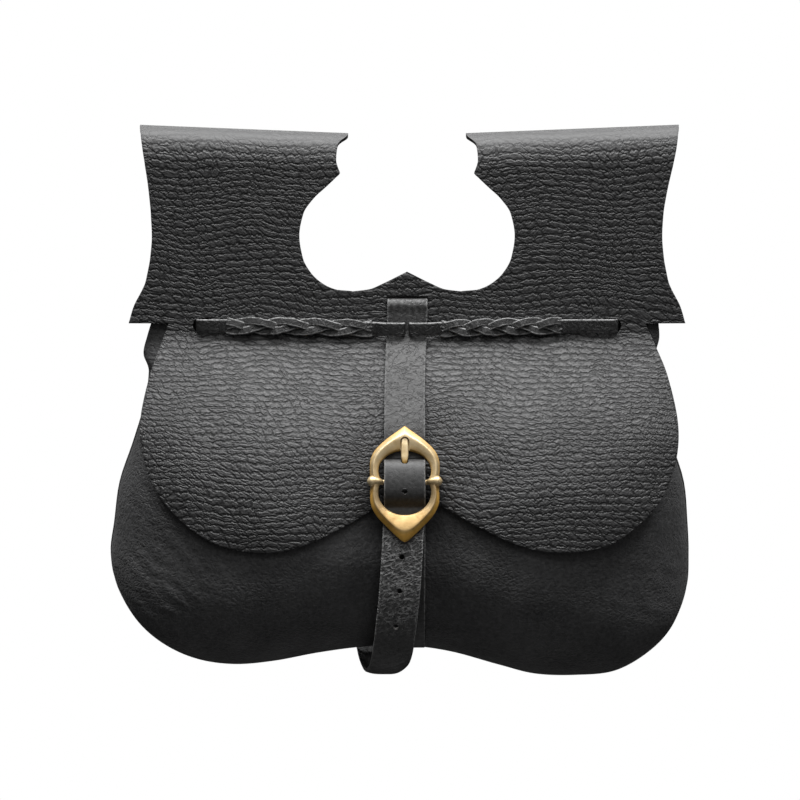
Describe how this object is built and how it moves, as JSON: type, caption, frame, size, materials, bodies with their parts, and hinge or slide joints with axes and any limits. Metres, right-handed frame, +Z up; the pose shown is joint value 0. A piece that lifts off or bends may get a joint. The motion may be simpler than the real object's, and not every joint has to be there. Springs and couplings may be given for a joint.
{
  "type": "belt bag",
  "caption": "Two-lobed leather belt bag with rolled belt loops, a keyhole panel running into a scalloped flap, braided lacings and a strap closed by a brass double-loop buckle.",
  "frame": {"origin": "middle of the passage that the belt runs through, in the middle of the bag", "axes": "+X to the bag's right as seen from the front and along the belt, -Y to the front, +Z up"},
  "size_m": [0.292, 0.0806, 0.2768],
  "materials": {
    "grain_leather": "black pebbled grain, satin sheen",
    "pouch_leather": "soft black, matt with a fine nap",
    "strap_leather": "smooth black, satin, with worn edges",
    "aged_brass": "aged cast brass, darker in the recesses"
  },
  "bodies": {
    "root": {"cover": "grain_leather", "pouch_front": "pouch_leather", "pouch_back": "pouch_leather", "closing_strap": "strap_leather", "buckle_strap": "strap_leather", "lacing_left": "strap_leather", "lacing_right": "strap_leather", "buckle_frame": "aged_brass", "buckle_pin": "aged_brass"}
  },
  "joints": []
}
